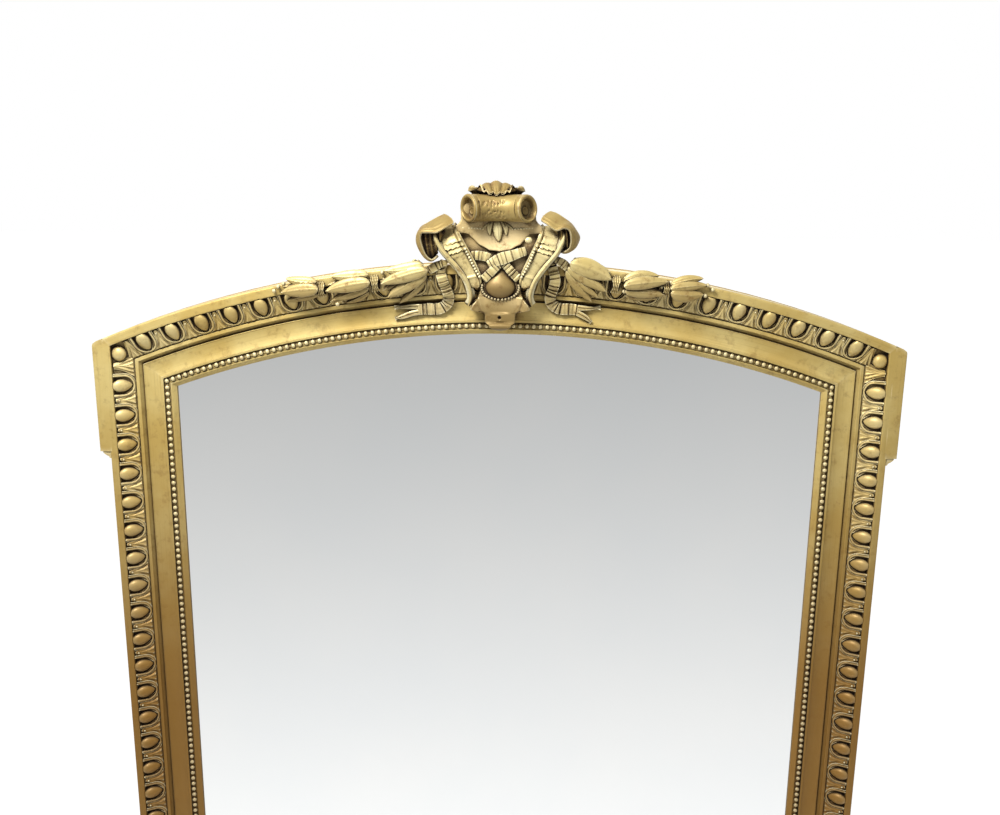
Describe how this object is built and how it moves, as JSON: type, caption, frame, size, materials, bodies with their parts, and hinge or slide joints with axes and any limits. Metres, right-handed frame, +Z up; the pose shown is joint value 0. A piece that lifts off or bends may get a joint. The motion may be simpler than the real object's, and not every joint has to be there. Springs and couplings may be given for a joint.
{
  "type": "trumeau mirror",
  "caption": "Tall gilded overmantel mirror with an arched top, eared corners, egg-and-dart and beaded mouldings, and a carved cartouche crest with ribbons and laurel.",
  "frame": {"origin": "middle of the frame's flat underside, halfway between its back face and the face of its lip", "axes": "+Z up, +X to the right as seen from the front, -Y out of the mirror's face, +Y to the wall"},
  "size_m": [1.37, 0.1253, 1.83],
  "materials": {
    "gilded_moulding": "satin water gilding over red bole, rubbed at the edges",
    "gilded_enrichment": "gilded composition, dark in the recesses",
    "gilded_carving": "gilded carving, burnished highlights and toned hollows",
    "mirror": "silvered plate",
    "pine": "bare aged softwood",
    "backboard": "rough sawn, dusty",
    "iron": "dull, lightly rusted",
    "brass": "tarnished"
  },
  "bodies": {
    "frame": {"backboard_left": "backboard", "backboard_middle": "backboard", "backboard_right": "backboard", "bead_strip_bottom": "gilded_enrichment", "bead_strip_left": "gilded_enrichment", "bead_strip_right": "gilded_enrichment", "bead_strip_top": "gilded_enrichment", "bottom_rail": "pine", "cartouche": "gilded_carving", "crest_board": "gilded_carving", "egg_and_dart_bottom": "gilded_enrichment", "egg_and_dart_left": "gilded_enrichment", "egg_and_dart_right": "gilded_enrichment", "egg_and_dart_top": "gilded_enrichment", "glazing_fillet_bottom": "pine", "glazing_fillet_left": "pine", "glazing_fillet_right": "pine", "glazing_fillet_top": "pine", "husk_pendant": "gilded_carving", "inner_moulding_bottom": "gilded_moulding", "inner_moulding_left": "gilded_moulding", "inner_moulding_right": "gilded_moulding", "inner_moulding_top": "gilded_moulding", "laurel_left_1": "gilded_carving", "laurel_left_2": "gilded_carving", "laurel_left_3": "gilded_carving", "laurel_right_1": "gilded_carving", "laurel_right_2": "gilded_carving", "laurel_right_3": "gilded_carving", "left_ear": "gilded_moulding", "left_ear_foot": "gilded_moulding", "left_hanger_plate": "iron", "left_lower_screw": "iron", "left_ribbon_loop": "gilded_carving", "left_ribbon_tail": "gilded_carving", "left_stile": "pine", "left_strap": "gilded_carving", "left_upper_screw": "iron", "lower_batten": "pine", "mirror_glass": "mirror", "outer_moulding_bottom": "gilded_moulding", "outer_moulding_left": "gilded_moulding", "outer_moulding_right": "gilded_moulding", "outer_moulding_top": "gilded_moulding", "ribbon_swag": "gilded_carving", "right_ear": "gilded_moulding", "right_ear_foot": "gilded_moulding", "right_hanger_plate": "iron", "right_lower_screw": "iron", "right_ribbon_loop": "gilded_carving", "right_ribbon_tail": "gilded_carving", "right_stile": "pine", "right_strap": "gilded_carving", "right_upper_screw": "iron", "shell_leaf": "gilded_carving", "top_rail": "pine", "top_scroll": "gilded_carving", "upper_batten": "pine"},
    "left_ring": {"left_hanger_ring": "brass"},
    "right_ring": {"right_hanger_ring": "brass"}
  },
  "joints": [
    {"name": "left_ring_swing", "type": "hinge", "parent": "frame", "child": "left_ring", "pos_m": [-0.621, 0.0281, 1.25], "axis": [1, 0, 0], "range_deg": [0, 180]},
    {"name": "right_ring_swing", "type": "hinge", "parent": "frame", "child": "right_ring", "pos_m": [0.621, 0.0281, 1.25], "axis": [1, 0, 0], "range_deg": [0, 180]}
  ]
}
